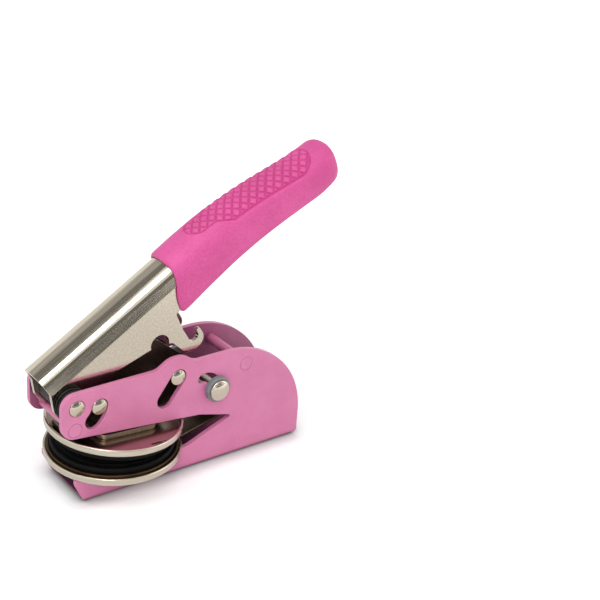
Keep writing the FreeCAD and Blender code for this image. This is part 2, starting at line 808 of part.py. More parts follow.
def upper_die_pan():
    """The upper dish with its two slits and the gap in its rim for the clip."""
    shape = pan(upper_floor_z, upper_pan_rim)
    cuts = [Part.makeBox(rim_notch_depth, rim_notch_half * 2, upper_pan_rim,
                         vec(pan_radius - rim_notch_depth, -rim_notch_half, upper_floor_z + pan_sheet))]
    slit_y = pan_radius - slit_inset
    for side in (-1, 1):
        corner = vec(slit_front_x, side * slit_y - slit_width / 2, upper_floor_z)
        cuts.append(Part.makeBox(slit_length, slit_width, pan_sheet, corner))
    return opened(shape.cut(cuts))


def rounded_square(front_x, rear_x, half, bottom_z, height, corner):
    """A flat plate with rounded corners."""
    places = [(front_x, -half), (rear_x, -half), (rear_x, half), (front_x, half)]
    wire = rounded_wire([(vec(x, y, bottom_z), corner) for x, y in places])
    return Part.Face(wire).extrude(vec(0, 0, height))


def press_plate():
    """The plate on top of the clip that the button pushes on."""
    bottom = upper_floor_z + pan_sheet + clip_sheet
    rear = plate_half + press_plate_extra
    return opened(rounded_square(-rear, rear, plate_half, bottom, press_plate_sheet, plate_corner))


def ribbon(line, half_sheet, half_width):
    """A bent strip along Y; its centre line holds (x, z, radius)."""
    places = [vec(x, 0, z) for x, z, radius in line]
    upper = []
    lower = []
    for index, place in enumerate(places):
        ways = []
        if index > 0:
            ways.append((place - places[index - 1]).normalize())
        if index < len(places) - 1:
            ways.append((places[index + 1] - place).normalize())
        normals = [vec(-way.z, 0, way.x) for way in ways]
        mean = sum(normals, vec(0, 0, 0)).normalize()
        offset = mean * (half_sheet / mean.dot(normals[0]))
        turn = ways[0].x * ways[-1].z - ways[0].z * ways[-1].x
        radius = line[index][2]
        grow = half_sheet if turn < 0 else -half_sheet
        upper.append((place + offset, radius + grow if radius else 0))
        lower.append((place - offset, radius - grow if radius else 0))
    outline = [(place.x, place.z, radius) for place, radius in upper + lower[::-1]]
    return side_plate(outline, -half_width, half_width)


def clip_place(x, z):
    """X and Z at rest of a point given on the closed, level upper die."""
    turn = math.radians(open_tilt)
    along = x - hinge_x
    rise = z - hinge_z
    return hinge_x + along * math.cos(turn) + rise * math.sin(turn), \
        hinge_z - along * math.sin(turn) + rise * math.cos(turn)


def die_clip():
    """The spring strap: a leg under the lower pan, the bend at the throat, a leg into the upper pan."""
    low_z = lip_z - clip_low_gap - clip_sheet / 2
    high_z = upper_floor_z + pan_sheet + clip_sheet / 2
    high_rear = clip_place(clip_high_rear_x, high_z)
    tongue = clip_place(clip_tongue_x, high_z)
    lug = clip_place(clip_tongue_x, high_z + clip_lug_height)
    strap = ribbon([
        (clip_low_front_x, low_z, 0), (clip_low_rear_x, low_z, clip_low_round),
        (hinge_x + clip_corner_reach, hinge_z, clip_bend), high_rear + (clip_high_round,),
        tongue + (clip_lug_bend,), lug + (0,),
    ], clip_sheet / 2, clip_half_width)
    wide = opened(rounded_square(-plate_half, plate_half, plate_half, high_z - clip_sheet / 2, clip_sheet,
                                 plate_corner))
    return strap.fuse(wide).removeSplitter()


def die_seat():
    """The block in the base that carries the lower pan and holds the clip's lower leg."""
    half = frame_inner - frame_inner_bend
    shape = rounded_square(seat_front_x, seat_rear_x, half, frame_sheet, lip_z - frame_sheet, seat_round)
    groove_z = lip_z - clip_sheet - clip_low_gap * 2
    groove_half = clip_half_width + groove_clearance
    start_x = clip_low_front_x - groove_clearance
    shape = shape.cut(Part.makeBox(seat_rear_x + overrun - start_x, groove_half * 2, overrun,
                                   vec(start_x, -groove_half, groove_z)))
    for x in peg_places():
        shape = shape.fuse(Part.makeCylinder(peg_radius, frame_sheet, vec(x, 0, 0)))
    return shape


def lower_die_ring():
    """The metal ring around the lower die."""
    outer = pan_radius - pan_sheet - ring_clearance
    inner = outer - ring_wall
    floor = lip_z + pan_sheet
    return turned([
        (inner, floor, 0), (outer, floor, pan_edge), (outer, floor + ring_height, pan_edge),
        (inner, floor + ring_height, pan_edge),
    ])


def lock_place():
    """The lock pin's place at rest."""
    return ring_place(lock_centre_x, lock_centre_z, lock_swing_radius, lock_rest_angle)


def lock_discs(radius, bore, start_y, end_y, edge):
    """A pair of discs on the lock pin, one each side, with softened outer edges."""
    x, z = lock_place()
    piece = across(radius, x, z, start_y, end_y)
    rim = [curve for curve in piece.Edges if abs(curve.CenterOfMass.y - end_y) < same_place]
    piece = piece.makeFillet(edge, rim)
    if bore:
        piece = piece.cut(across(bore, x, z, start_y, end_y))
    return Part.makeCompound(both_sides(piece))


def build():
    """Makes and writes every piece."""
    save("frame_channel", frame_channel())
    save("front_spacer", spacer(front_spacer_x, front_spacer_z))
    save("rear_spacer", spacer(rear_spacer_x, rear_spacer_z))
    save("lever_pivot_pin", pin(pivot_x, pivot_z, pin_end_radius, frame_inner))
    hub = sleeve(hub_radius, pin_end_radius + fit_clearance, pivot_x, pivot_z,
                 flange_outer + fit_clearance, frame_inner - fit_clearance)
    save("pivot_spacers", Part.makeCompound(both_sides(hub)))
    far_spring, near_spring = both_sides(return_spring())
    save("return_spring_far", far_spring)
    save("return_spring_near", near_spring)
    save("die_seat", die_seat())
    save("lower_die_pan", pan(lip_z, lower_pan_rim))
    save("lower_die_ring", lower_die_ring())
    floor = lip_z + pan_sheet
    save("lower_die", disc(die_radius, floor, floor + lower_die_height, die_edge))
    save("die_clip", die_clip())
    core = lever()
    save("lever", core)
    save("lever_grip", lever_grip(core))
    save("drive_pin", pin(drive_x, drive_z, drive_shank_radius, pin_land_start))
    bush_end = lever_flange_inner - fit_clearance
    save("pivot_bush", sleeve(bush_radius, pin_end_radius + fit_clearance, pivot_x, pivot_z, -bush_end, bush_end))
    save("press_bar", press_bar())
    save("guide_pin", pin(guide_x, guide_z, guide_shank_radius, pin_land_start))
    save("press_button", press_button())
    save("upper_die_pan", upper_die_pan())
    save("press_plate", press_plate())
    save("upper_die", opened(disc(die_radius, upper_floor_z - upper_die_height, upper_floor_z, die_edge)))
    washer_start = frame_half_width + washer_gap
    washer_end = washer_start + washer_thickness
    save("lock_washers", lock_discs(washer_radius, lock_shank_radius + fit_clearance, washer_start, washer_end,
                                    washer_edge))
    save("lock_heads", lock_discs(head_radius, 0, washer_end, washer_end + head_thickness, head_edge))
    save("lock_pin", cross_bar(lock_shank_radius, *lock_place(), washer_end))


build()
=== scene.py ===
import bpy
import math
from mathutils import Matrix, Vector


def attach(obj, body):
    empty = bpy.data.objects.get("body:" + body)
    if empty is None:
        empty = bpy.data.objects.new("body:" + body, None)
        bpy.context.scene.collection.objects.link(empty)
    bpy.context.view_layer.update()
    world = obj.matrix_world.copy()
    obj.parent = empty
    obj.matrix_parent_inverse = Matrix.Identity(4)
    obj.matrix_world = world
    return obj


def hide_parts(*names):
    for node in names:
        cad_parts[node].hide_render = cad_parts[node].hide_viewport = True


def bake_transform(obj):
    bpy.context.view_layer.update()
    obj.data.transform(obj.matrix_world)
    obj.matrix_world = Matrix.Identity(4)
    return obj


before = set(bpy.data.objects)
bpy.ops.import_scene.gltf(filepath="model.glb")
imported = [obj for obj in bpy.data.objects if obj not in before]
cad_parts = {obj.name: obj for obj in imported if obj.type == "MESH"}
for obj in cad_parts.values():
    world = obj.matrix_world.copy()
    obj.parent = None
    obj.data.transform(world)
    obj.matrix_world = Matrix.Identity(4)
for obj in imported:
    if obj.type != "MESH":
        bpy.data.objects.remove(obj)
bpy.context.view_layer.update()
mm = 0.001
full = 2 * math.pi
tiny = 1e-9
leverPivot = (-19.5, 35.5)  # millimetres in x and z
leverTilt = math.radians(31.5)
print("frame loaded:", len(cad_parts), "nodes")


# Camera: where it stands, and where its axis meets the picture
cameraSet = {"azimuth": 34.21, "elevation": 26.96, "roll": 2.31, "distance": 438.9 * mm,
             "right": 24.486 * mm, "up": 48.747 * mm, "focalShare": 1311.2 / 600,
             "axisAcross": 185 / 600, "axisDown": 325 / 600, "sensor": 36, "clip": (10 * mm, 20)}


def makeCamera():
    azimuth, elevation, roll = (math.radians(cameraSet[key]) for key in ("azimuth", "elevation", "roll"))
    forward = Vector((math.sin(azimuth) * math.cos(elevation), math.cos(azimuth) * math.cos(elevation),
                      -math.sin(elevation)))
    level = Vector((math.cos(azimuth), -math.sin(azimuth), 0))
    upright = level.cross(forward)
    right = level * math.cos(roll) + upright * math.sin(roll)
    up = upright * math.cos(roll) - level * math.sin(roll)
    place = right * cameraSet["right"] + up * cameraSet["up"] - forward * cameraSet["distance"]
    data = bpy.data.cameras.new("camera")
    data.sensor_width = cameraSet["sensor"]
    data.lens = cameraSet["focalShare"] * cameraSet["sensor"]
    data.shift_x = 0.5 - cameraSet["axisAcross"]
    data.shift_y = cameraSet["axisDown"] - 0.5
    data.clip_start, data.clip_end = cameraSet["clip"]
    camera = bpy.data.objects.new("camera", data)
    bpy.context.scene.collection.objects.link(camera)
    turn = Matrix((right, up, -forward)).transposed().to_4x4()
    camera.matrix_world = Matrix.Translation(place) @ turn
    bpy.context.scene.camera = camera
    print("camera placed at", [round(x, 3) for x in place])


def paint(red, green, blue):  # a colour as seen on a screen, 0 to 255, made linear
    linear = (((c / 255 + 0.055) / 1.055) ** 2.4 if c > 10 else c / 255 / 12.92 for c in (red, green, blue))
    return (*linear, 1)


class Wire:  # a socket that arithmetic can be written on
    def __init__(self, finish, socket):
        self.finish, self.socket = finish, socket

    def join(self, operation, first, second):
        return self.finish.node("ShaderNodeMath", {"operation": operation}, {0: first, 1: second})

    def __add__(self, other): return self.join("ADD", self, other)
    def __radd__(self, other): return self.join("ADD", other, self)
    def __sub__(self, other): return self.join("SUBTRACT", self, other)
    def __rsub__(self, other): return self.join("SUBTRACT", other, self)
    def __mul__(self, other): return self.join("MULTIPLY", self, other)
    def __rmul__(self, other): return self.join("MULTIPLY", other, self)
    def __pow__(self, other): return self.join("POWER", self, other)
    def __rpow__(self, other): return self.join("POWER", other, self)


class Finish:  # one material, or the world, and the nodes it is made of
    def __init__(self, name, world=None, **fixed):
        self.material = world or bpy.data.materials.new(name)
        self.material.use_nodes = True
        self.tree = self.material.node_tree
        self.shader = self.tree.nodes["Background" if world else "Principled BSDF"]
        for socket, value in fixed.items():
            self.shader.inputs[socket.replace("_", " ")].default_value = value

    def node(self, kind, settings=None, inputs=None, output=0):
        made = self.tree.nodes.new(kind)
        for key, value in (settings or {}).items():
            setattr(made, key, value)
        for key, value in (inputs or {}).items():
            if isinstance(value, Wire):
                self.tree.links.new(value.socket, made.inputs[key])
            else:
                made.inputs[key].default_value = value
        return Wire(self, made.outputs[output])

    def feed(self, **sockets):
        for socket, wire in sockets.items():
            self.tree.links.new(wire.socket, self.shader.inputs[socket.replace("_", " ")])

    def place(self):
        return self.node("ShaderNodeTexCoord", output="Object")

    def rays(self):  # 1 on rays from the camera, on glossy rays and on rays through glass
        return [self.node("ShaderNodeLightPath", output=kind)
                for kind in ("Is Camera Ray", "Is Glossy Ray", "Is Transmission Ray")]

    def noise(self, place, scale, detail=2, roughness=0.5):
        return self.node("ShaderNodeTexNoise", {}, {"Vector": place, "Scale": scale, "Detail": detail,
                                                    "Roughness": roughness}, "Fac")

    def stretched(self, place, scale, turn=(0, 0, 0)):
        turned = self.node("ShaderNodeMapping", {}, {"Vector": place, "Rotation": turn})
        return self.node("ShaderNodeVectorMath", {"operation": "MULTIPLY"}, {0: turned, 1: scale})

    def radius(self, x, y):
        return (x * x + y * y) ** 0.5

    def parts(self, vector):
        split = self.node("ShaderNodeSeparateXYZ", {}, {0: vector}).socket.node
        return [Wire(self, socket) for socket in split.outputs]

    def mix(self, factor, first, second):
        return self.node("ShaderNodeMix", {"data_type": "RGBA"}, {0: factor, 6: first, 7: second}, 2)

    def step(self, value, low, high):  # 0 below low, 1 above high, smooth between
        return self.node("ShaderNodeMapRange", {"interpolation_type": "SMOOTHSTEP"},
                         {"Value": value, "From Min": low, "From Max": high})

    def edges(self, width, fade=(0.01, 0.25)):  # the softened normal, and a mask that is 1 on an edge
        bent = self.node("ShaderNodeBevel", {"samples": 6}, {"Radius": width})
        flat = self.node("ShaderNodeNewGeometry", output="Normal")
        same = self.node("ShaderNodeVectorMath", {"operation": "DOT_PRODUCT"}, {0: bent, 1: flat}, "Value")
        return bent, self.step(1 - same, *fade)

    def crevice(self, reach):  # 1 in the open, towards 0 in corners and slots
        return self.node("ShaderNodeAmbientOcclusion", {"samples": 6}, {"Distance": reach}, "AO")

    def blended(self, first, share, second):  # a share of the first value and the rest of the second
        return first * share + second * (1 - share)

    def bump(self, height, depth, normal=None):
        inputs = {"Height": height, "Distance": depth, "Strength": 1}
        if normal:
            inputs["Normal"] = normal
        self.feed(Normal=self.node("ShaderNodeBump", {}, inputs))


# Frame paint: satin pink powder coat, with a painted highlight on its edges and painted shade in its corners
# and between the side plates
paintSet = {
    "light": paint(221, 131, 173), "deep": paint(213, 120, 163), "edge": paint(240, 168, 202),
    "corner": paint(190, 92, 138), "inner": paint(78, 30, 62),
    "roughness": 0.36, "clouded": 0.06, "grained": 0.05, "coat": 0.15, "coatRoughness": 0.25,
    "cloud": 90, "peel": 750, "grain": 2600, "depth": 0.012 * mm, "cloudShare": 0.6, "peelShare": 0.6,
    "tone": (0.35, 0.65), "edgeWidth": 0.42 * mm, "edgeHighlight": 0.55, "crevice": 2.2 * mm,
    "creviceShare": 0.55,
    # painted shade between the side plates: from their inner faces in, deeper where it is more closed in
    "sheetInner": 9.97 * mm, "sheetFade": (0.2 * mm, 0.05 * mm), "cave": 30 * mm, "caveFade": (0.6, 0.15),
    "hidden": 0.62, "shaded": {"framePaint": 0.34, "spacerPaint": 0.05},
}


def makeFramePaint(name):
    s = paintSet
    finish = Finish(name, Coat_Weight=s["coat"], Coat_Roughness=s["coatRoughness"])
    place = finish.place()
    cloud = finish.noise(place, s["cloud"], 4, 0.6)
    peel = finish.noise(place, s["peel"], 2)
    grain = finish.noise(place, s["grain"], 2)
    bent, edge = finish.edges(s["edgeWidth"])
    tone = finish.step(finish.blended(cloud, s["cloudShare"], grain), *s["tone"])
    shade = finish.mix(tone, s["deep"], s["light"])
    # painted shade: the corner colour darkens corners and slots by ambient occlusion
    shade = finish.mix((1 - finish.crevice(s["crevice"])) * s["creviceShare"], shade, s["corner"])
    y = finish.parts(place)[1]
    # painted shade between the side plates, deeper where ambient occlusion finds it closed in
    inside = finish.step((y * y) ** 0.5, *(s["sheetInner"] + past for past in s["sheetFade"]))
    cave = finish.step(finish.crevice(s["cave"]), *s["caveFade"]) * s["hidden"] + s["shaded"][name]
    shade = finish.mix(inside * cave, shade, s["inner"])
    # painted highlight: the paler edge colour along every edge
    shade = finish.mix(edge * s["edgeHighlight"], shade, s["edge"])
    finish.feed(Base_Color=shade, Roughness=s["roughness"] + cloud * s["clouded"] + grain * s["grained"])
    finish.bump(finish.blended(peel, s["peelShare"], grain), s["depth"], bent)
    return finish.material


# Grip rubber: matt hot pink with a fine grain, and painted shade in the grooves, in the hollow and on the
# rolled lip
rubberSet = {"light": paint(227, 93, 161), "deep": paint(209, 79, 145), "groove": paint(196, 56, 130),
             "roughness": 0.5, "grained": 0.12, "specular": 0.4, "sheen": 0.12, "sheenRoughness": 0.4,
             "grain": 1500, "fine": 4200, "cloud": 70, "depth": 0.035 * mm, "tone": (0.36, 0.62),
             "cloudShare": 0.5, "grainShare": 0.6, "grooveShare": 0.8}


def makeRubber():
    s = rubberSet
    finish = Finish("gripRubber", Sheen_Weight=s["sheen"], Sheen_Roughness=s["sheenRoughness"],
                    Specular_IOR_Level=s["specular"])
    place = finish.place()
    grain = finish.noise(place, s["grain"], 3, 0.65)
    fine = finish.noise(place, s["fine"], 1)
    cloud = finish.noise(place, s["cloud"], 3)
    groove = finish.node("ShaderNodeAttribute", {"attribute_name": "groove"}, output="Fac")
    tone = finish.step(finish.blended(cloud, s["cloudShare"], grain), *s["tone"])
    shade = finish.mix(tone, s["deep"], s["light"])
    # painted shade from the groove attribute: in the grooves, the hollow and on the rolled lip
    shade = finish.mix(groove * s["grooveShare"], shade, s["groove"])
    finish.feed(Base_Color=shade, Roughness=s["roughness"] + grain * s["grained"])
    finish.bump(finish.blended(grain, s["grainShare"], fine), s["depth"])
    return finish.material


# Nickel plate: rolled and polished on the lever's crown, turned on the pans, fine and satin elsewhere;
# painted shade in crevices and in the pans, a painted highlight on edges
nickelSet = {
    "pale": paint(222, 213, 196), "warm": paint(200, 189, 169), "shadedNickel": paint(150, 138, 118),
    "dish": paint(128, 100, 88), "tone": (0.3, 0.7), "grain": 1700, "edgeWidth": 0.2 * mm, "edgeHighlight": 0.5,
    "grained": 0.08,
    "lever": {"crown": 0.06, "side": 0.1, "crease": 7.0 * mm, "creaseFade": (-0.1 * mm, 0.3 * mm),
              "streak": 2200, "drawn": (0.025, 1, 1), "streakDepth": 0.25, "cloud": 160, "clouded": 0.06,
              "crevice": 1.5 * mm, "creviceShare": 0.7, "depth": 0.008 * mm},
    "cloud": 220, "clouded": 0.08, "crevice": 1.2 * mm, "creviceShare": 0.6, "depth": 0.003 * mm,
    "turning": 2600, "turningDrift": 0.2, "dishRadius": 21.9 * mm, "dishFade": 0.3 * mm,
    "dishReach": 9 * mm, "dishLeast": 0.35,
    # dish: how much painted shade and painted reflection darken the plate inside the pans; mottle: how much
    # of the grain shows
    "kinds": {"turnedNickel": {"roughness": 0.14, "turned": True, "mottle": 1, "dish": 1},
              "plateNickel": {"roughness": 0.34, "turned": False, "mottle": 1, "dish": 0.9},
              "satinNickel": {"roughness": 0.2, "turned": False, "mottle": 1, "dish": 0},
              "pinNickel": {"roughness": 0.07, "turned": False, "mottle": 0.3, "dish": 0}},
}


def makeLeverNickel():
    s, lever = nickelSet, nickelSet["lever"]
    finish = Finish("leverNickel", Metallic=1)
    place = finish.place()
    turn = (0, leverTilt, 0)
    above = finish.parts(finish.stretched(place, (1, 1, 1), turn))[2]
    pivotX, pivotZ = (value * mm for value in leverPivot)
    pivotAbove = pivotZ * math.cos(leverTilt) - pivotX * math.sin(leverTilt)
    crown = finish.step(above - pivotAbove, *(lever["crease"] + past for past in lever["creaseFade"]))
    streak = finish.noise(finish.stretched(place, lever["drawn"], turn), lever["streak"], 3, 0.7)
    grain = finish.noise(place, s["grain"], 4, 0.6)
    cloud = finish.noise(place, lever["cloud"], 3)
    bent, edge = finish.edges(s["edgeWidth"])
    shade = finish.mix(finish.step(streak * crown + grain * (1 - crown), *s["tone"]), s["warm"], s["pale"])
    # painted shade: darker nickel in crevices
    shade = finish.mix((1 - finish.crevice(lever["crevice"])) * lever["creviceShare"], shade, s["shadedNickel"])
    # painted highlight: pale nickel along the edges
    shade = finish.mix(edge * s["edgeHighlight"], shade, s["pale"])
    rough = crown * (lever["crown"] - lever["side"]) + lever["side"]
    finish.feed(Base_Color=shade, Roughness=rough + streak * s["grained"] + cloud * lever["clouded"])
    finish.bump(streak * crown * lever["streakDepth"] + grain * (1 - crown), lever["depth"], bent)
    return finish.material


def makeNickel(name):
    s, kind = nickelSet, nickelSet["kinds"][name]
    finish = Finish(name, Metallic=1)
    place = finish.place()
    mark = finish.noise(place, s["grain"], 3, 0.6)
    cloud = finish.noise(place, s["cloud"], 3)
    x, y, z = finish.parts(place)
    radius = finish.radius(x, y)
    bent, edge = finish.edges(s["edgeWidth"])
    if kind["turned"]:
        around = finish.node("ShaderNodeCombineXYZ", {}, {0: radius, 2: z * s["turningDrift"]})
        mark = finish.noise(around, s["turning"], 3, 0.7)
    tone = finish.step(mark, *s["tone"]) * kind["mottle"] + (1 - kind["mottle"]) / 2
    shade = finish.mix(tone, s["warm"], s["pale"])
    # painted shade: darker nickel in crevices
    shade = finish.mix((1 - finish.crevice(s["crevice"])) * s["creviceShare"], shade, s["shadedNickel"])
    # painted shade and painted reflection: darker inside the pans, most where ambient occlusion finds it
    # closed in
    if kind["dish"]:
        inDish = finish.step(radius, s["dishRadius"], s["dishRadius"] - s["dishFade"])
        hidden = (1 - finish.crevice(s["dishReach"])) * (1 - s["dishLeast"]) + s["dishLeast"]
        shade = finish.mix(inDish * hidden * kind["dish"], shade, s["dish"])
    # painted highlight: pale nickel along the edges
    shade = finish.mix(edge * s["edgeHighlight"], shade, s["pale"])
    finish.feed(Base_Color=shade, Roughness=kind["roughness"] + mark * s["grained"] + cloud * s["clouded"])
    finish.bump(mark, s["depth"] * kind["mottle"], bent)
    return finish.material


# Spring steel, blackened wire, the press bar coloured dark as painted shade, browned ring, grey washer, black
# dies and plastic, each with a painted highlight on its edges
plainSet = {
    "cloud": 150, "clouded": 0.06, "marked": 0.1, "tone": (0.35, 0.65), "markShare": 0.6,
    "edgeWidth": 0.15 * mm, "edgeHighlight": 0.4,
    "kinds": {
        "strapSteel": {"pale": paint(160, 148, 128), "deep": paint(120, 108, 90), "metallic": 1,
                       "roughness": 0.26, "grain": 1400, "depth": 0.006 * mm},
        "blackenedWire": {"pale": paint(44, 43, 44), "deep": paint(24, 24, 26), "metallic": 0.6,
                          "roughness": 0.32, "grain": 1600, "depth": 0.006 * mm},
        # the press bar coloured dark brown as painted shade for the gap between the lever's flanges
        "shadedBar": {"pale": paint(78, 62, 52), "deep": paint(42, 32, 28), "metallic": 0.8,
                    "roughness": 0.34, "grain": 1500, "depth": 0.008 * mm},
        "brownedRing": {"pale": paint(98, 77, 55), "deep": paint(62, 46, 33), "metallic": 1,
                        "roughness": 0.34, "grain": 1800, "depth": 0.01 * mm, "turned": True},
        "greyWasher": {"pale": paint(136, 142, 142), "deep": paint(112, 120, 122), "metallic": 0,
                       "roughness": 0.42, "grain": 1600, "depth": 0.01 * mm},
        "blackDie": {"pale": paint(11, 11, 12), "deep": paint(4, 4, 5), "metallic": 0, "specular": 0.13,
                     "roughness": 0.5, "grain": 2400, "depth": 0.01 * mm, "turned": True},
        "blackPlastic": {"pale": paint(38, 38, 41), "deep": paint(24, 24, 27), "metallic": 0,
                         "roughness": 0.45, "grain": 1800, "depth": 0.01 * mm},
    },
}


def makePlain(name):
    s, kind = plainSet, plainSet["kinds"][name]
    finish = Finish(name, Metallic=kind["metallic"], Specular_IOR_Level=kind.get("specular", 0.5))
    place = finish.place()
    cloud = finish.noise(place, s["cloud"], 3)
    if kind.get("turned"):
        x, y, z = finish.parts(place)
        around = finish.node("ShaderNodeCombineXYZ", {}, {0: finish.radius(x, y)})
        mark = finish.noise(around, kind["grain"], 3, 0.7)
    else:
        mark = finish.noise(place, kind["grain"], 3, 0.6)
    bent, edge = finish.edges(s["edgeWidth"])
    tone = finish.step(finish.blended(mark, s["markShare"], cloud), *s["tone"])
    # painted highlight: the pale colour along the edges
    shade = finish.mix(edge * s["edgeHighlight"], finish.mix(tone, kind["deep"], kind["pale"]), kind["pale"])
    finish.feed(Base_Color=shade, Roughness=kind["roughness"] + mark * s["marked"] + cloud * s["clouded"])
    finish.bump(mark, kind["depth"], bent)
    return finish.material


# Studio: a pale floor with a painted contact shadow, white all round, soft lamps, and cards that only the
# polished metal sees
white, black = (1, 1, 1, 1), (0, 0, 0, 1)
studioSet = {"paper": (0.86, 0.86, 0.86, 1), "grain": (0.88, 0.88, 0.88, 1), "grainScale": 900, "matt": 0.9,
             "contactShadow": (0.26, 0.26, 0.26, 1), "contactReach": 6.5 * mm, "contactPower": 1.5, "floorHalf": 4,
             "floorDrop": 0.05 * mm, "glowNear": 0.3, "glowFar": 1.0, "fade": (0.10, 0.3), "skyDiffuse": 0.55}
lampSet = {
    "overhead": {"place": (-0.35, -0.205, 0.94), "aim": (0.02, 0, 0.04), "size": (0.82, 0.5), "power": 3.7},
    "front": {"place": (-0.62, -0.80, 0.62), "aim": (0, 0, 0.04), "size": (0.34, 0.5), "power": 3.4},
    "right": {"place": (0.85, -0.45, 0.35), "aim": (0.03, 0, 0.05), "size": (0.5, 0.6), "power": 1.2},
}
cardSet = {
    "behindHigh": {"place": (-0.315, 0.42, 0.79), "aim": (0, 0, 0.07), "size": (1.4, 0.34), "grey": 0.22},
    "behindLow": {"place": (-0.175, 0.69, 0.61), "aim": (0, 0, 0.07), "size": (1.6, 0.42), "grey": 0.5},
    "front": {"place": (-0.10, -1.05, 0.22), "aim": (0, 0, 0.10), "size": (1.7, 0.75), "grey": 0.2},
    "frontFloor": {"place": (0.18, -0.79, 0.0005), "aim": (0.18, -0.80, 1), "size": (1.6, 1.2), "grey": 0.2},
}


def lookAt(place, aim):
    return (Vector(aim) - Vector(place)).to_track_quat("-Z", "Y").to_matrix().to_4x4()


def flatSheet(name, halfWide, halfHigh):
    return newMesh(name, [(-halfWide, -halfHigh, 0), (halfWide, -halfHigh, 0), (halfWide, halfHigh, 0),
                          (-halfWide, halfHigh, 0)], [(0, 1, 2, 3)])


def makeSky(scene):  # white where it is seen, softer where it lights
    scene.world = bpy.data.worlds.new("studioWorld")
    sky = Finish("studioSky", scene.world, Color=white)
    seen, glossy, through = sky.rays()
    for other in (glossy, through):
        seen = sky.node("ShaderNodeMath", {"operation": "MAXIMUM"}, {0: seen, 1: other})
    sky.feed(Strength=sky.node("ShaderNodeMapRange", {}, {"Value": seen, "To Min": studioSet["skyDiffuse"],
                                                          "To Max": 1}))


def makeLamp(scene, name, lamp):
    data = bpy.data.lights.new(name, "AREA")
    data.shape = "RECTANGLE"
    data.size, data.size_y = lamp["size"]
    data.energy = lamp["power"]
    light = bpy.data.objects.new(name, data)
    scene.collection.objects.link(light)
    light.matrix_world = Matrix.Translation(lamp["place"]) @ lookAt(lamp["place"], lamp["aim"])


def makeFloor():
    s = studioSet
    floor = flatSheet("floor", s["floorHalf"], s["floorHalf"])
    floor.location.z = -s["floorDrop"]
    finish = Finish("floorPaper", Roughness=s["matt"], Emission_Strength=1, Specular_IOR_Level=0)
    place = finish.place()
    x, y, z = finish.parts(place)
    # painted contact shadow: the floor's colour and its glow darken near the object by ambient occlusion
    openness = finish.crevice(s["contactReach"]) ** s["contactPower"]
    sheet = finish.mix(finish.noise(place, s["grainScale"]), s["paper"], s["grain"])
    finish.feed(Base_Color=finish.mix(openness, s["contactShadow"], sheet))
    seen, glossy, through = finish.rays()
    far = finish.step(finish.radius(x, y), *s["fade"]) * s["glowFar"]
    glow = (far + (1 - far) * seen * s["glowNear"]) * openness * (seen + glossy + through)
    finish.feed(Emission_Color=finish.mix(glow, black, white))
    floor.data.materials.append(finish.material)


def makeCard(name, card):
    wide, high = card["size"]
    piece = flatSheet(name, wide / 2, high / 2)
    piece.matrix_world = Matrix.Translation(card["place"]) @ lookAt(card["place"], card["aim"])
    finish = Finish(name + "Card", Base_Color=black, Roughness=1, Specular_IOR_Level=0, Emission_Color=white,
                    Emission_Strength=card["grey"])
    piece.data.materials.append(finish.material)
    piece.visible_camera = piece.visible_diffuse = piece.visible_shadow = piece.visible_transmission = False


def makeStudio():
    scene = bpy.context.scene
    scene.view_settings.view_transform = "Standard"
    makeSky(scene)
    for name, lamp in lampSet.items():
        makeLamp(scene, name, lamp)
    makeFloor()
    for name, card in cardSet.items():
        makeCard(name, card)
    print("studio set:", len(lampSet), "lamps,", len(cardSet), "cards")


def newMesh(name, points, faces, smooth=False, crisp=None):  # edges sharper than crisp degrees stay sharp
    data = bpy.data.meshes.new(name)
    data.from_pydata([tuple(point) for point in points], [], faces)
    data.validate()
    data.update()
    if smooth:
        data.shade_smooth()
    if crisp:
        data.set_sharp_from_angle(angle=math.radians(crisp))
    piece = bpy.data.objects.new(name, data)
    bpy.context.scene.collection.objects.link(piece)
    return piece


def ringFaces(rings, count, first=0, turned=False):  # faces between rings of count points each
    faces = []
    for ring in range(rings - 1):
        a, b = first + ring * count, first + (ring + 1) * count
        for k in range(count):
            j = (k + 1) % count
            faces.append((a + k, b + k, b + j, a + j) if turned else (a + k, a + j, b + j, b + k))
    return faces


def smoothTable(rows, share):  # a smooth curve through rows of (place, values...)
    index = max(i for i in range(len(rows) - 1) if rows[i][0] <= share or i == 0)
    near, far = rows[index], rows[index + 1]
    before = rows[max(index - 1, 0)]
    after = rows[min(index + 2, len(rows) - 1)]
    span = far[0] - near[0]
    t = min(max((share - near[0]) / span, 0), 1)
    found = []
    for a, b, c, d in zip(before[1:], near[1:], far[1:], after[1:]):
        slopeNear = (c - a) / max(far[0] - before[0], tiny) * span
        slopeFar = (d - b) / max(after[0] - near[0], tiny) * span
        found.append((2 * t ** 3 - 3 * t * t + 1) * b + (t ** 3 - 2 * t * t + t) * slopeNear
                     + (3 * t * t - 2 * t ** 3) * c + (t ** 3 - t * t) * slopeFar)
    return found


def easeStep(value, low, high):
    t = min(max((value - low) / (high - low), 0), 1)
    return t * t * (3 - 2 * t)


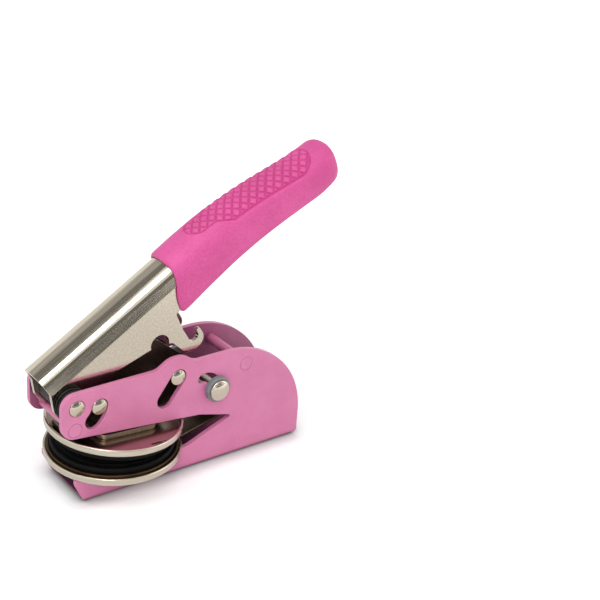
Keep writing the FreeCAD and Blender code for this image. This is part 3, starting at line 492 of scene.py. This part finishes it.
# Grip: the rubber sleeve, millimetres in the lever's own length u, width y and height v from its pivot
gripSet = {
    "start": 45.0, "length": 74.2, "height": 15.4, "halfWidth": 8.4, "domeStart": 0.93, "domePower": 3.0,
    "domeWidePower": 2.6, "tipLean": 0.14, "leanStart": 0.84, "cornerCut": 0.586, "leastHalf": 1e-4,
    # share of the length, then top, bottom, half width and both corners as shares
    "sections": [(0, .955, -.255, .975, .38, .20), (.07, .972, -.25, .98, .38, .20),
                 (.2, .982, -.194, .99, .39, .20), (.335, .957, -.154, 1, .40, .20),
                 (.469, .894, -.166, 1, .40, .21), (.602, .798, -.218, 1, .41, .22),
                 (.736, .668, -.304, .99, .42, .24), (.844, .567, -.384, .97, .42, .27),
                 (.921, .53, -.405, .94, .42, .32), (1, .525, -.395, .91, .44, .42)],
    # the curved front edge, as height v and length u
    "frontEdge": [(-4.4, 50.5), (-4.0, 47.6), (-3.2, 46.4), (-1.8, 45.95), (0, 46.15), (2.6, 46.8), (5, 47.8),
                  (8, 49.2), (11, 50.3), (13, 50.6), (16, 50.7)],
    # the rolled lip: share of the way from the hollow to the skin, and how far back
    "lip": 0.75, "skinStart": 48,
    "rolled": [(0, 0.26), (0.05, 0.12), (0.14, 0.02), (0.3, 0), (0.48, 0.03), (0.66, 0.12), (0.82, 0.3),
               (0.93, 0.5)],
    # painted shade on the rolled lip and in the hollow, carried with the grooves' shade
    "lipDark": 0.1, "hollowDark": 0.5,
    # the lever's own dome and flanges, with a hair of room
    "hollow": {"end": 72.3, "room": 0.05, "crownRadius": 13.0, "crownV": 0.4, "crownSteps": 12,
               "cornerY": 3.36, "cornerV": 9.39, "cornerRadius": 3.4, "cornerSteps": 16, "lean": 13,
               "creaseV": 7.0, "creaseY": 7.4, "creaseDrop": 0.3, "flangeY": 7.1, "bottom": -1.05},
    "panel": {"start": 62.6, "end": 111.8, "nose": 4.3, "noseEnd": 70.5, "wideFrom": 77.5, "wide": 7.0,
              "noseRound": 4.6, "tailRound": 7.4, "pitchAlong": 3.4, "pitchAcross": 4.1, "shift": 0.25,
              "grooveHalf": 0.46, "depth": 0.5, "dome": 0.16, "rim": 0.14, "margin": 1, "aside": 1.2,
              "endSlope": 0.8, "grooveFlat": 0.08, "latticeFade": (-0.05, 0.25), "borderFade": (0.05, 0.34),
              "domeFade": (0.1, 1.0), "domeInside": (0.2, 0.9), "rimAt": 0.6, "rimFade": (0.05, 0.6)},
    "topColumns": 120, "restColumns": 56, "topShare": 0.36, "sideSteps": 48,
    "panelRings": 290, "frontRings": 22, "tailRings": 26,
}


def leverPoint(u, y, v):
    x = leverPivot[0] + u * math.cos(leverTilt) - v * math.sin(leverTilt)
    z = leverPivot[1] + u * math.sin(leverTilt) + v * math.cos(leverTilt)
    return Vector((x, y, z)) * mm


def roundedSection(halfWidth, top, bottom, topPower, bottomPower):  # one side, from the crown to the belly
    middle, high = (top + bottom) / 2, (top - bottom) / 2
    steps = gripSet["sideSteps"]
    line = []
    for step in range(2 * steps + 1):
        angle = math.pi * step / (2 * steps)
        power = topPower if step < steps else bottomPower
        line.append((halfWidth * abs(math.sin(angle)) ** (2 / power),
                     middle + high * math.copysign(abs(math.cos(angle)) ** (2 / power), math.cos(angle))))
    return line


def spread(line, shares):  # points at shares of the line's own length, and that length
    runs = [0]
    for (y0, v0), (y1, v1) in zip(line, line[1:]):
        runs.append(runs[-1] + math.hypot(y1 - y0, v1 - v0))
    found, index = [], 0
    for share in shares:
        goal = share * runs[-1]
        while index < len(runs) - 2 and runs[index + 1] < goal:
            index += 1
        t = (goal - runs[index]) / max(runs[index + 1] - runs[index], tiny)
        found.append(tuple(a + (b - a) * t for a, b in zip(line[index], line[index + 1])))
    return found, runs[-1]


def gripSection(u, shares):
    s = gripSet
    along = min(max((u - s["start"]) / s["length"], 0), 1)
    top, bottom, half, topCorner, bottomCorner = smoothTable(s["sections"], along)
    middle, high, wide = (top + bottom) / 2, (top - bottom) / 2, half
    past = max(along - s["domeStart"], 0) / (1 - s["domeStart"])
    high *= max(1 - past ** s["domePower"], 0) ** (1 / s["domePower"])
    wide *= max(1 - past ** s["domeWidePower"], 0) ** (1 / s["domeWidePower"])
    powers = [math.log(2) / -math.log(1 - s["cornerCut"] * corner) for corner in (topCorner, bottomCorner)]
    line = roundedSection(max(wide * s["halfWidth"], s["leastHalf"]), (middle + high) * s["height"],
                          (middle - high) * s["height"], *powers)
    return spread(line, shares)


def leanAt(u):  # how far the end of the sleeve leans forward at its top
    s = gripSet
    past = (u - s["start"]) / s["length"] - s["leanStart"]
    return s["tipLean"] * max(past, 0) / (1 - s["leanStart"])


def panelHalf(u):  # half width of the diamond panel at u
    p = gripSet["panel"]
    if not p["start"] < u < p["end"]:
        return 0
    half = p["nose"] + (p["wide"] - p["nose"]) * easeStep(u, p["noseEnd"], p["wideFrom"])
    for reach, past in ((p["noseRound"], u - p["start"]), (p["tailRound"], p["end"] - u)):
        if past < reach:
            half *= math.sqrt(1 - (1 - past / reach) ** 2)
    return half


def grooveAt(u, y, arc):  # depth of the skin below its own level, and how dark the groove is
    p = gripSet["panel"]
    half = panelHalf(u)
    if half <= 0 or abs(y) > half + p["aside"]:
        return 0, 0
    inside = min(half - abs(y), (u - p["start"]) * p["endSlope"], (p["end"] - u) * p["endSlope"])
    slope = math.hypot(1 / p["pitchAlong"], 1 / p["pitchAcross"])
    along, across = (u - p["start"]) / p["pitchAlong"], arc / p["pitchAcross"]
    near = min(abs(line - round(line)) for line in (along + across + p["shift"], along - across + p["shift"]))
    near /= slope
    lattice = 1 - easeStep(near, p["grooveFlat"], p["grooveHalf"] + p["grooveFlat"])
    lattice *= easeStep(inside, *p["latticeFade"])
    groove = max(lattice, 1 - easeStep(abs(inside), *p["borderFade"]))
    crown = p["dome"] * easeStep(near, *p["domeFade"]) * easeStep(inside, *p["domeInside"])
    rim = p["rim"] * (1 - easeStep(abs(inside + p["rimAt"]), *p["rimFade"]))
    return p["depth"] * groove - crown - rim, groove


def hollowSection():  # one side of the lever inside the sleeve, from the crown down to the belly
    h = gripSet["hollow"]
    tangent = math.atan2(h["cornerY"], h["cornerV"] - h["crownV"])
    line = []
    reach = h["crownRadius"] + h["room"]
    for step in range(h["crownSteps"] + 1):
        angle = tangent * step / h["crownSteps"]
        line.append((reach * math.sin(angle), h["crownV"] + reach * math.cos(angle)))
    reach = h["cornerRadius"] + h["room"]
    for step in range(1, h["cornerSteps"] + 1):
        angle = tangent + (math.pi / 2 - math.radians(h["lean"]) - tangent) * step / h["cornerSteps"]
        line.append((h["cornerY"] + reach * math.sin(angle), h["cornerV"] + reach * math.cos(angle)))
    flange = h["flangeY"] + h["room"]
    return line + [(h["creaseY"] + h["room"], h["creaseV"]), (flange, h["creaseV"] - h["creaseDrop"]),
                   (flange, h["bottom"]), (0, h["bottom"])]


def around(half):  # one side mirrored into a whole ring
    return [(-y, v) for y, v in half] + [(y, v) for y, v in reversed(half[1:-1])]


def frontEdgeU(v):
    edge = gripSet["frontEdge"]
    return smoothTable(edge, min(max(v, edge[0][0]), edge[-1][0]))[0]


def grooved(ring, index, depth):  # a point of the ring pushed in by depth, square to the skin
    (y0, v0), (y1, v1) = ring[index - 1], ring[(index + 1) % len(ring)]
    across = Vector((y1 - y0, v1 - v0)).normalized()
    outward = Vector((across.y, -across.x))
    if outward.y < 0:
        outward = -outward
    y, v = ring[index]
    return y - outward.x * depth, v - outward.y * depth


def makeGrip(material):
    s, hollow, panel = gripSet, gripSet["hollow"], gripSet["panel"]
    top, rest = s["topColumns"] // 2, s["restColumns"] // 2
    shares = [s["topShare"] * i / top for i in range(top)]
    shares += [s["topShare"] + (1 - s["topShare"]) * i / rest for i in range(rest + 1)]
    columns = 2 * (len(shares) - 1)

    points, dark = [], []
    hollowRing = around(spread(hollowSection(), shares)[0])
    for u in (hollow["end"], None):  # the hollow, from its end to the lip
        points += [leverPoint(u or frontEdgeU(v) + s["lip"], y, v) for y, v in hollowRing]
    skinFront = around(gripSection(s["skinStart"], shares)[0])
    for share, back in s["rolled"]:  # the rolled lip, from the hollow out
        for (y0, v0), (y1, v1) in zip(hollowRing, skinFront):
            y, v = y0 + (y1 - y0) * share, v0 + (v1 - v0) * share
            points.append(leverPoint(frontEdgeU(v) + back, y, v))
    dark += [s["hollowDark"]] * (2 * columns) + [s["lipDark"]] * (len(s["rolled"]) * columns)

    tip = s["start"] + s["length"]
    domeU = s["start"] + s["domeStart"] * s["length"]
    panelFrom, panelTo = panel["start"] - panel["margin"], panel["end"] + panel["margin"]
    for step in range(s["frontRings"]):  # rings that still follow the curved front edge
        share = step / s["frontRings"]
        for y, v in around(gripSection(s["skinStart"] + (panelFrom - s["skinStart"]) * share, shares)[0]):
            front = frontEdgeU(v) + s["lip"]
            points.append(leverPoint(front + (panelFrom - front) * share, y, v))
            dark.append(0)
    stations = [panelFrom + (panelTo - panelFrom) * i / s["panelRings"] for i in range(s["panelRings"] + 1)]
    startPast = math.asin((panelTo - domeU) / (tip - domeU))
    for i in range(1, s["tailRings"]):
        past = startPast + (math.pi / 2 - startPast) * i / s["tailRings"]
        stations.append(domeU + (tip - domeU) * math.sin(past))
    for u in stations:
        half, length = gripSection(u, shares)
        ring = around(half)
        lean, centre = leanAt(u), (half[0][1] + half[-1][1]) / 2
        arcs = [share * length for share in shares]
        arcs = arcs + arcs[-2:0:-1]
        for i, (y, v) in enumerate(ring):
            depth, groove = grooveAt(u, y, arcs[i]) if v > 0 else (0, 0)
            if depth:
                y, v = grooved(ring, i, depth)
            points.append(leverPoint(u + lean * (v - centre), y, v))
            dark.append(groove)
    rings = len(points) // columns
    faces = ringFaces(rings, columns)
    endTop, endBottom = smoothTable(s["sections"], 1)[:2]
    points.append(leverPoint(tip, 0, (endTop + endBottom) / 2 * s["height"]))
    last = (rings - 1) * columns
    faces += [(last + i, last + (i + 1) % columns, len(points) - 1) for i in range(columns)]
    faces.append(tuple(reversed(range(columns))))
    dark.append(0)
    piece = newMesh("gripSleeve", points, faces, True)
    # the painted shade weights are stored in the groove attribute
    piece.data.attributes.new("groove", "FLOAT", "POINT").data.foreach_set("value", dark)
    piece.data.materials.append(material)
    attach(piece, "lever")
    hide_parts("lever_grip")
    print("grip made:", len(points), "points")


# Return springs: wire, coil and legs, millimetres about the lever's pivot
springSet = {"wire": 0.65, "radius": 5.25, "outer": 9.57, "advance": 2.06, "turns": 2, "gap": 0.075,
             "leg": 1.5, "legSteps": 6, "spacer": (-20.2, 27.9), "spacerRadius": 1.7, "drive": 8.2,
             "driveAngle": -11,
             "driveRadius": 1.8, "steps": 72, "sides": 14, "tipPush": 0.3, "tipShare": 0.72}


def springPath(side):
    s = springSet
    pivotX, pivotZ = leverPivot
    toSpacer = (s["spacer"][0] - pivotX, s["spacer"][1] - pivotZ)
    spacerOffset = s["spacerRadius"] + s["wire"] / 2 + s["gap"]
    driveOffset = s["driveRadius"] + s["wire"] / 2 + s["gap"]
    driveAngle = math.radians(s["driveAngle"])
    start = math.atan2(toSpacer[1], toSpacer[0])
    start += math.acos((s["radius"] - spacerOffset) / math.hypot(*toSpacer))
    end = driveAngle - math.acos((s["radius"] - driveOffset) / s["drive"]) + full * s["turns"]
    coil, steps = [], s["turns"] * s["steps"]
    for step in range(steps + 1):
        share = step / steps
        angle = start + share * (end - start)
        y = s["outer"] - s["advance"] * (1 - math.cos(math.pi * share)) / 2
        coil.append(Vector((pivotX + s["radius"] * math.cos(angle), side * y,
                            pivotZ + s["radius"] * math.sin(angle))))
    legStart = Vector((-math.sin(start), 0, math.cos(start)))
    legEnd = Vector((-math.sin(end), 0, math.cos(end)))
    drive = Vector((pivotX + s["drive"] * math.cos(driveAngle), 0,
                    pivotZ + s["drive"] * math.sin(driveAngle)))
    spacer = Vector((s["spacer"][0], 0, s["spacer"][1]))
    firstReach = (spacer - coil[0]).dot(legStart) - s["leg"]
    lastReach = (drive - coil[-1]).dot(legEnd) + s["leg"]
    first = [coil[0] + legStart * firstReach * (1 - i / s["legSteps"]) for i in range(s["legSteps"])]
    last = [coil[-1] + legEnd * lastReach * (i + 1) / s["legSteps"] for i in range(s["legSteps"])]
    return first + coil + last


def sweep(name, path, radius, sides):  # a round wire along a path, its ends slightly tapered
    points = []
    ways = [(path[min(i + 1, len(path) - 1)] - path[max(i - 1, 0)]).normalized() for i in range(len(path))]
    aside = Vector((0, 1, 0))
    push, share = springSet["tipPush"] * radius, springSet["tipShare"]
    stations = [(0, -push, share)] + [(i, 0, 1) for i in range(len(path))] + [(-1, push, share)]
    for index, push, share in stations:
        way = ways[index]
        up = way.cross(aside).normalized()
        flat = up.cross(way).normalized()
        middle = path[index] + way * push
        for k in range(sides):
            angle = full * k / sides
            points.append((middle + (up * math.cos(angle) + flat * math.sin(angle)) * radius * share) * mm)
    faces = ringFaces(len(stations), sides)
    faces.append(tuple(reversed(range(sides))))
    faces.append(tuple(range(len(points) - sides, len(points))))
    return newMesh(name, points, faces, True)


def makeSprings(material):
    s = springSet
    springs = (("returnSpringNear", "return_spring_near", -1), ("returnSpringFar", "return_spring_far", 1))
    for name, node, side in springs:
        piece = sweep(name, springPath(side), s["wire"] / 2, s["sides"])
        piece.data.materials.append(material)
        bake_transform(piece)
        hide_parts(node)
    print("springs made")


# Die clip: a bent spring strap with a square seat for the upper die
clipSet = {"sheet": 0.8, "half": 5.0, "hinge": (38.0, 13.3), "tilt": 3.6, "low": 8.55, "lowFront": -14.0,
           "lowRear": 24.1, "lowRound": 8.0, "corner": 4.9, "bend": 1.2, "high": 17.97, "highRear": 24.3,
           "highRound": 6.0, "tongue": -20.0, "lug": 1.5, "lugBend": 1.0, "seatHalf": 11.0, "seatCorner": 3.5,
           "seatEdge": 0.15, "edge": 0.2, "run": 1.5, "arcSteps": 10, "seatSteps": 8}


def clipOpened(x, z):
    turn = math.radians(clipSet["tilt"])
    hingeX, hingeZ = clipSet["hinge"]
    along, rise = x - hingeX, z - hingeZ
    return (hingeX + along * math.cos(turn) + rise * math.sin(turn),
            hingeZ - along * math.sin(turn) + rise * math.cos(turn))


def roundedLine(corners, steps):  # (x, z, radius) corners to points, each corner an arc
    line = []
    for index, (x, z, radius) in enumerate(corners):
        here = Vector((x, z))
        if not radius:
            line.append(here)
            continue
        back = (Vector(corners[index - 1][:2]) - here).normalized()
        ahead = (Vector(corners[index + 1][:2]) - here).normalized()
        half = back.angle(ahead) / 2
        centre = here + (back + ahead).normalized() * radius / math.sin(half)
        start = here + back * radius / math.tan(half) - centre
        sweepAngle = math.pi - 2 * half
        side = 1 if back.x * ahead.y - back.y * ahead.x < 0 else -1
        for step in range(steps + 1):
            angle = side * sweepAngle * step / steps
            line.append(centre + Vector((start.x * math.cos(angle) - start.y * math.sin(angle),
                                         start.x * math.sin(angle) + start.y * math.cos(angle))))
    return line


def divided(line, reach):  # no run longer than reach
    found = [line[0]]
    for a, b in zip(line, line[1:]):
        parts = max(1, math.ceil((b - a).length / reach))
        found += [a + (b - a) * (i + 1) / parts for i in range(parts)]
    return found


def clipLine():  # the middle of the strap, from its lower end round the bend to the lug
    s = clipSet
    hingeX, hingeZ = s["hinge"]
    return divided(roundedLine([
        (s["lowFront"], s["low"], 0), (s["lowRear"], s["low"], s["lowRound"]),
        (hingeX + s["corner"], hingeZ, s["bend"]), clipOpened(s["highRear"], s["high"]) + (s["highRound"],),
        clipOpened(s["tongue"], s["high"]) + (s["lugBend"],),
        clipOpened(s["tongue"], s["high"] + s["lug"]) + (0,)], s["arcSteps"]), s["run"])


def seatOutline():  # the square seat with round corners, seen from above
    corner, reach, steps = clipSet["seatCorner"], clipSet["seatHalf"], clipSet["seatSteps"]
    outline = []
    for quarter, (signX, signY) in enumerate(((1, 1), (-1, 1), (-1, -1), (1, -1))):
        for step in range(steps + 1):
            angle = math.pi / 2 * (quarter + step / steps)
            outline.append((signX * (reach - corner) + corner * math.cos(angle),
                            signY * (reach - corner) + corner * math.sin(angle)))
    return outline


def makeClip(material):
    s = clipSet
    thick, half, edge = s["sheet"] / 2, s["half"], s["edge"]
    profile = [(-half, -thick + edge), (-half + edge, -thick), (half - edge, -thick), (half, -thick + edge),
               (half, thick - edge), (half - edge, thick), (-half + edge, thick), (-half, thick - edge)]
    line, points = clipLine(), []
    for i, here in enumerate(line):
        way = (line[min(i + 1, len(line) - 1)] - line[max(i - 1, 0)]).normalized()
        normal = Vector((-way.y, way.x))
        for y, offset in profile:
            place = here + normal * offset
            points.append(Vector((place.x, y, place.y)) * mm)
    faces = ringFaces(len(line), len(profile))
    faces.append(tuple(reversed(range(len(profile)))))
    faces.append(tuple(range(len(points) - len(profile), len(points))))
    outline, inset = seatOutline(), s["seatEdge"]  # the seat, between the pan and the press plate
    base, count = len(points), len(outline)
    levels = ((inset, -thick), (0, -thick + inset), (0, thick - inset), (inset, thick))
    for inset, height in levels:
        for x, y in outline:
            share = 1 - inset / s["seatHalf"]
            placeX, placeZ = clipOpened(x * share, s["high"] + height)
            points.append(Vector((placeX, y * share, placeZ)) * mm)
    faces += ringFaces(len(levels), count, base)
    faces.append(tuple(reversed(range(base, base + count))))
    faces.append(tuple(range(len(points) - count, len(points))))
    piece = newMesh("dieClipStrap", points, faces, True, 40)
    piece.data.materials.append(material)
    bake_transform(piece)
    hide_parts("die_clip")
    print("clip made")


# Lower die: its face is cut with a ring of fine ticks, and with plain rings of a radius, half width and depth
dieSet = {"radius": 20.8, "bottom": 9.9, "top": 14.1, "edge": 0.4, "edgeTurns": (30, 60, 90),
          "turnSteps": 960, "ticks": 160, "tickIn": 18.6, "tickOut": 19.9, "tickDepth": 0.3,
          "tickFade": (0.16, 0.26), "tickRamp": 0.08, "ringFlat": 0.6,
          "rings": [(18.1, 0.16, 0.2), (16.2, 0.2, 0.25), (8.6, 0.2, 0.25)],
          "radii": [0.6, 2, 5, 8.3, 8.42, 8.6, 8.78, 8.9, 12, 15.9, 16.02, 16.2, 16.38, 16.5, 17.2, 17.9,
                    17.98, 18.1, 18.22, 18.3, 18.58, 18.68, 18.95, 19.25, 19.55, 19.82, 19.92, 20.1, 20.4]}


def dieHeight(radius, turn):
    s = dieSet
    depth = 0
    for middle, half, deep in s["rings"]:
        depth = max(depth, deep * (1 - easeStep(abs(radius - middle), half * s["ringFlat"], half)))
    tick = 1 - easeStep(abs(turn * s["ticks"] % 1 - 0.5), *s["tickFade"])
    tick *= easeStep(radius, s["tickIn"], s["tickIn"] + s["tickRamp"])
    tick *= 1 - easeStep(radius, s["tickOut"] - s["tickRamp"], s["tickOut"])
    return s["top"] - max(depth, s["tickDepth"] * tick)


def makeLowerDie(material):
    s = dieSet
    steps, edge = s["turnSteps"], s["edge"]
    rings = [(radius, None) for radius in s["radii"]]
    for turn in s["edgeTurns"]:
        angle = math.radians(turn)
        rings.append((s["radius"] - edge * (1 - math.sin(angle)), s["top"] - edge * (1 - math.cos(angle))))
    rings += [(s["radius"], s["bottom"] + edge), (s["radius"] - edge, s["bottom"])]
    points = []
    for radius, height in rings:
        for step in range(steps):
            turn = step / steps
            z = dieHeight(radius, turn) if height is None else height
            points.append(Vector((radius * math.cos(full * turn), radius * math.sin(full * turn), z)) * mm)
    faces = ringFaces(len(rings), steps, turned=True)
    faces.append(tuple(range(steps)))
    faces.append(tuple(reversed(range(len(points) - steps, len(points)))))
    piece = newMesh("lowerDieCut", points, faces, True, 50)
    piece.data.materials.append(material)
    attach(piece, "root")
    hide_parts("lower_die")
    print("lower die made")


# Turned pins and lock heads, their ends domed: millimetres, places in x and z
pinSet = {"turns": 72, "shankEnd": 10.0, "end": 12.13, "radius": 2.7, "edge": 0.25, "crown": 0.56,
          "edgeSteps": 6, "domeSteps": 8,
          "pins": {"pivotPin": ("lever_pivot_pin", "root", leverPivot, 2.7),
                   "drivePin": ("drive_pin", "lever", (-11.4507, 33.9354), 1.8),
                   "guidePin": ("guide_pin", "press_bar", (17.7, 36.4), 1.7)},
          "lock": {"place": (32.6391, 28.5896), "radius": 3.66, "start": 13.6, "end": 15.09, "edge": 0.4,
                   "crown": 0.62, "back": 0.2}}


def domedEnd(radius, start, end, edge, crown):  # (radius, y) from the side to the middle of the dome
    line = [(radius, start)]
    for step in range(pinSet["edgeSteps"] + 1):
        angle = math.pi / 2 * step / pinSet["edgeSteps"]
        line.append((radius - edge + edge * math.cos(angle), end - crown - edge + edge * math.sin(angle)))
    for step in range(1, pinSet["domeSteps"] + 1):
        share = 1 - step / pinSet["domeSteps"]
        line.append(((radius - edge) * share, end - crown * share ** 2))
    return line


def lathe(profile, place, turns):  # a closed body turned about an axis along Y
    points = []
    x, z = place
    rings = profile[1:-1]
    for radius, y in rings:
        for step in range(turns):
            angle = full * step / turns
            points.append(Vector((x + radius * math.cos(angle), y, z + radius * math.sin(angle))) * mm)
    faces = ringFaces(len(rings), turns, turned=True)
    last = (len(rings) - 1) * turns
    points += [Vector((x, profile[0][1], z)) * mm, Vector((x, profile[-1][1], z)) * mm]
    faces += [(len(points) - 2, k, (k + 1) % turns) for k in range(turns)]
    faces += [(len(points) - 1, last + (k + 1) % turns, last + k) for k in range(turns)]
    return points, faces


def makePins(material):
    s, lock = pinSet, pinSet["lock"]
    end = domedEnd(s["radius"], s["shankEnd"], s["end"], s["edge"], s["crown"])
    for name, (node, body, place, shank) in s["pins"].items():
        half = [(shank, 0), (shank, s["shankEnd"])] + end
        profile = [(radius, -y) for radius, y in reversed(half)] + half[1:]
        piece = newMesh(name, *lathe(profile, place, s["turns"]), True, 40)
        piece.data.materials.append(material)
        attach(piece, body)
        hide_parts(node)
    points, faces = [], []
    head = [(0, lock["start"]), (lock["radius"] - lock["back"], lock["start"])]
    head += domedEnd(lock["radius"], lock["start"] + lock["back"], lock["end"], lock["edge"], lock["crown"])
    for side in (-1, 1):
        profile = [(radius, side * y) for radius, y in head]
        made, sides = lathe(profile if side > 0 else profile[::-1], lock["place"], s["turns"])
        faces += [tuple(index + len(points) for index in face) for face in sides]
        points += made
    piece = newMesh("lockHeads", points, faces, True, 40)
    piece.data.materials.append(material)
    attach(piece, "lock")
    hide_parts("lock_heads")
    print("pins and lock heads made")


def dressNodes(finishes):
    for material, names in finishes:
        for name in names:
            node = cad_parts[name]
            node.data.materials.clear()
            node.data.materials.append(material)
    print("nodes dressed:", sum(len(names) for material, names in finishes))


makeCamera()
makeStudio()
strapSteel = makePlain("strapSteel")
blackDie = makePlain("blackDie")
dressNodes([
    (makeFramePaint("framePaint"), ("frame_channel",)),
    (makeFramePaint("spacerPaint"), ("front_spacer", "rear_spacer")),
    (makeLeverNickel(), ("lever",)),
    (makeNickel("plateNickel"), ("press_plate",)),
    (makeNickel("satinNickel"), ("lock_pin",)),
    (makePlain("shadedBar"), ("press_bar",)),
    (makeNickel("turnedNickel"), ("lower_die_pan", "upper_die_pan")),
    (strapSteel, ("press_button",)),
    (makePlain("brownedRing"), ("lower_die_ring",)),
    (makePlain("greyWasher"), ("lock_washers",)),
    (blackDie, ("upper_die",)),
    (makePlain("blackPlastic"), ("pivot_spacers", "pivot_bush", "die_seat")),
])
makePins(makeNickel("pinNickel"))
makeGrip(makeRubber())
makeSprings(makePlain("blackenedWire"))
makeClip(strapSteel)
makeLowerDie(blackDie)
